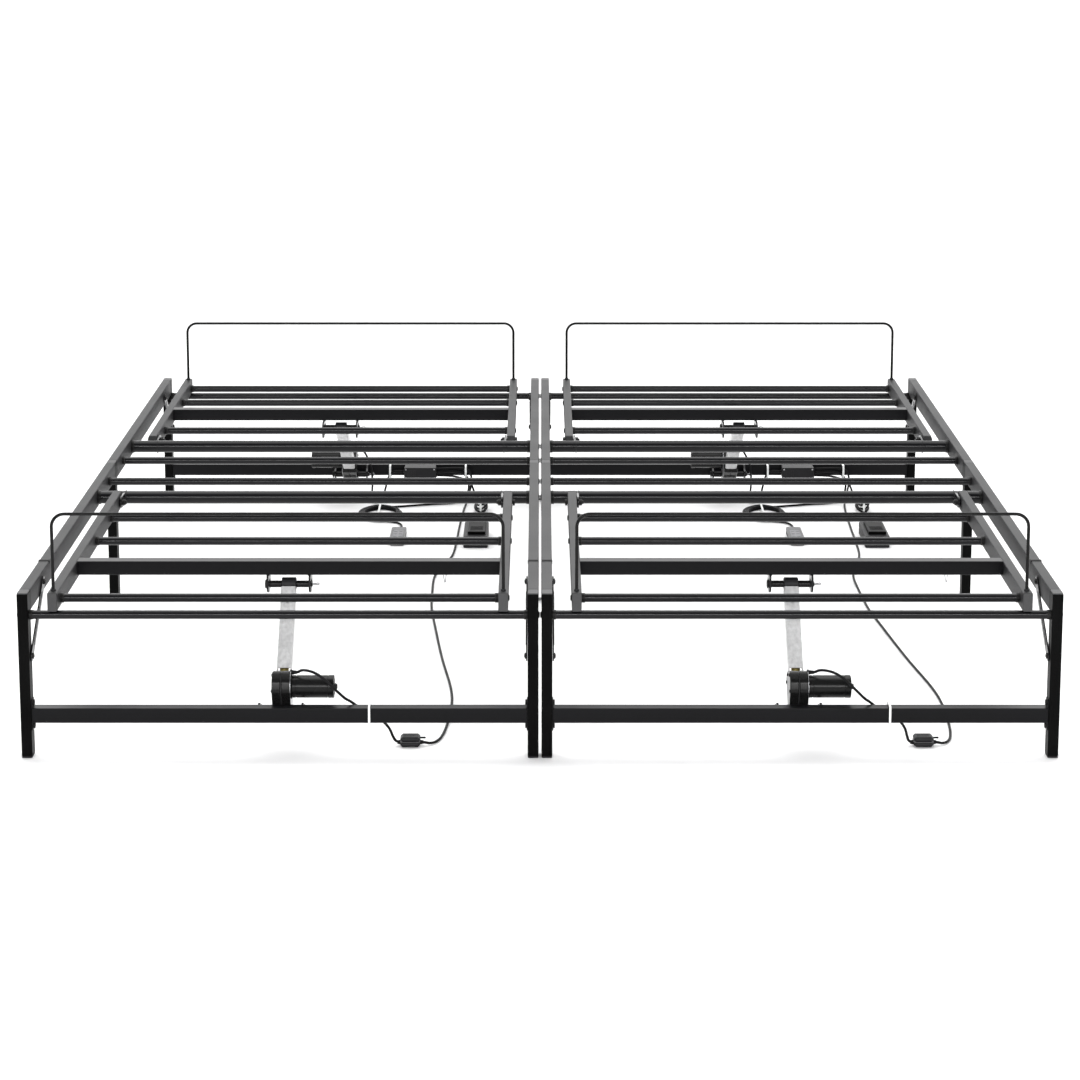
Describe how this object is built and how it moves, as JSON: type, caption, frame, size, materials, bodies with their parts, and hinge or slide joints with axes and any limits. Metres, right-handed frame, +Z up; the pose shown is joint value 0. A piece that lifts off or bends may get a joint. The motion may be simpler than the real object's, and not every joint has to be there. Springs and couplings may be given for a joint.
{
  "type": "adjustable bed base",
  "caption": "Two twin tubular-steel bed bases side by side, each with hinged head and foot sections lifted by screw actuators, retainer hoops, control box and wired handset.",
  "frame": {"origin": "on the floor under the middle of the pair, between the two bases", "axes": "+Y runs from the foot end to the head end, +X runs across from the left base to the right base seen from the foot, +Z is up"},
  "size_m": [1.9118, 2.01, 0.4601],
  "materials": {
    "black_powder_coat": "satin black powder coat",
    "black_plastic": "fine-grained moulded",
    "bare_aluminium": "plain mill finish",
    "bright_steel": "rolled thread",
    "soft_rubber": "matte silicone",
    "cord_jacket": "smooth flexible jacket"
  },
  "bodies": {
    "frame": {"left_foot_base_frame": "black_powder_coat", "left_head_base_frame": "black_powder_coat", "left_foot_leg_frame": "black_powder_coat", "left_head_leg_frame": "black_powder_coat", "left_control_box": "black_plastic", "left_power_brick": "black_plastic", "left_handset": "black_plastic", "left_cable_connector": "black_plastic", "left_cable_coil": "cord_jacket", "left_foot_cable_short": "cord_jacket", "left_foot_cable_long": "cord_jacket", "left_head_cable": "cord_jacket", "left_handset_cord": "cord_jacket", "left_coil_cord": "cord_jacket", "left_power_lead": "cord_jacket", "right_foot_base_frame": "black_powder_coat", "right_head_base_frame": "black_powder_coat", "right_foot_leg_frame": "black_powder_coat", "right_head_leg_frame": "black_powder_coat", "right_control_box": "black_plastic", "right_power_brick": "black_plastic", "right_handset": "black_plastic", "right_cable_connector": "black_plastic", "right_cable_coil": "cord_jacket", "right_foot_cable_short": "cord_jacket", "right_foot_cable_long": "cord_jacket", "right_head_cable": "cord_jacket", "right_handset_cord": "cord_jacket", "right_coil_cord": "cord_jacket", "right_power_lead": "cord_jacket"},
    "left_foot_section": {"left_foot_section_frame": "black_powder_coat", "left_foot_retainer_bar": "black_powder_coat"},
    "left_foot_actuator": {"left_foot_gear_housing": "black_plastic", "left_foot_motor": "black_plastic", "left_foot_drive_screw": "bright_steel"},
    "left_foot_rod": {"left_foot_thrust_channel": "bare_aluminium", "left_foot_clevis_pin": "black_powder_coat"},
    "left_head_section": {"left_head_section_frame": "black_powder_coat", "left_head_retainer_bar": "black_powder_coat"},
    "left_head_actuator": {"left_head_gear_housing": "black_plastic", "left_head_motor": "black_plastic", "left_head_drive_screw": "bright_steel"},
    "left_head_rod": {"left_head_thrust_channel": "bare_aluminium", "left_head_clevis_pin": "black_powder_coat"},
    "left_keypad": {"left_handset_keypad": "soft_rubber"},
    "right_foot_section": {"right_foot_section_frame": "black_powder_coat", "right_foot_retainer_bar": "black_powder_coat"},
    "right_foot_actuator": {"right_foot_gear_housing": "black_plastic", "right_foot_motor": "black_plastic", "right_foot_drive_screw": "bright_steel"},
    "right_foot_rod": {"right_foot_thrust_channel": "bare_aluminium", "right_foot_clevis_pin": "black_powder_coat"},
    "right_head_section": {"right_head_section_frame": "black_powder_coat", "right_head_retainer_bar": "black_powder_coat"},
    "right_head_actuator": {"right_head_gear_housing": "black_plastic", "right_head_motor": "black_plastic", "right_head_drive_screw": "bright_steel"},
    "right_head_rod": {"right_head_thrust_channel": "bare_aluminium", "right_head_clevis_pin": "black_powder_coat"},
    "right_keypad": {"right_handset_keypad": "soft_rubber"}
  },
  "joints": [
    {"name": "left_foot_lift", "type": "hinge", "parent": "frame", "child": "left_foot_section", "pos_m": [-0.4781, -0.24, 0.2955], "axis": [-1, 0, 0], "range_deg": [0, 18]},
    {"name": "left_foot_actuator_pivot", "type": "hinge", "parent": "frame", "child": "left_foot_actuator", "pos_m": [-0.4781, -0.95, 0.075], "axis": [1, 0, 0], "range_deg": [0, 14.43]},
    {"name": "left_foot_rod_slide", "type": "slide", "parent": "left_foot_actuator", "child": "left_foot_rod", "axis": [0, 0.6858, 0.7278], "range_m": [0, 0.1448]},
    {"name": "left_head_lift", "type": "hinge", "parent": "frame", "child": "left_head_section", "pos_m": [-0.4781, 0.357, 0.2955], "axis": [1, 0, 0], "range_deg": [0, 50]},
    {"name": "left_head_actuator_pivot", "type": "hinge", "parent": "frame", "child": "left_head_actuator", "pos_m": [-0.4781, 0.95, 0.075], "axis": [-1, 0, 0], "range_deg": [0, 15.34]},
    {"name": "left_head_rod_slide", "type": "slide", "parent": "left_head_actuator", "child": "left_head_rod", "axis": [0, -0.8587, 0.5125], "range_m": [0, 0.1974]},
    {"name": "left_keypad_press", "type": "slide", "parent": "frame", "child": "left_keypad", "axis": [0, 0, -1], "range_m": [0, 0.0005], "stiffness_N_per_m": 600},
    {"name": "right_foot_lift", "type": "hinge", "parent": "frame", "child": "right_foot_section", "pos_m": [0.4781, -0.24, 0.2955], "axis": [-1, 0, 0], "range_deg": [0, 18]},
    {"name": "right_foot_actuator_pivot", "type": "hinge", "parent": "frame", "child": "right_foot_actuator", "pos_m": [0.4781, -0.95, 0.075], "axis": [1, 0, 0], "range_deg": [0, 14.43]},
    {"name": "right_foot_rod_slide", "type": "slide", "parent": "right_foot_actuator", "child": "right_foot_rod", "axis": [0, 0.6858, 0.7278], "range_m": [0, 0.1448]},
    {"name": "right_head_lift", "type": "hinge", "parent": "frame", "child": "right_head_section", "pos_m": [0.4781, 0.357, 0.2955], "axis": [1, 0, 0], "range_deg": [0, 50]},
    {"name": "right_head_actuator_pivot", "type": "hinge", "parent": "frame", "child": "right_head_actuator", "pos_m": [0.4781, 0.95, 0.075], "axis": [-1, 0, 0], "range_deg": [0, 15.34]},
    {"name": "right_head_rod_slide", "type": "slide", "parent": "right_head_actuator", "child": "right_head_rod", "axis": [0, -0.8587, 0.5125], "range_m": [0, 0.1974]},
    {"name": "right_keypad_press", "type": "slide", "parent": "frame", "child": "right_keypad", "axis": [0, 0, -1], "range_m": [0, 0.0005], "stiffness_N_per_m": 600}
  ],
  "couplings": [
    {"joint": "left_foot_actuator_pivot", "follows": "left_foot_lift", "ratio": 0.79887},
    {"joint": "left_foot_rod_slide", "follows": "left_foot_lift", "m_per_rad": 0.46005},
    {"joint": "left_head_actuator_pivot", "follows": "left_head_lift", "ratio": 0.30576},
    {"joint": "left_head_rod_slide", "follows": "left_head_lift", "m_per_rad": 0.22584},
    {"joint": "right_foot_actuator_pivot", "follows": "right_foot_lift", "ratio": 0.79887},
    {"joint": "right_foot_rod_slide", "follows": "right_foot_lift", "m_per_rad": 0.46005},
    {"joint": "right_head_actuator_pivot", "follows": "right_head_lift", "ratio": 0.30576},
    {"joint": "right_head_rod_slide", "follows": "right_head_lift", "m_per_rad": 0.22584}
  ]
}
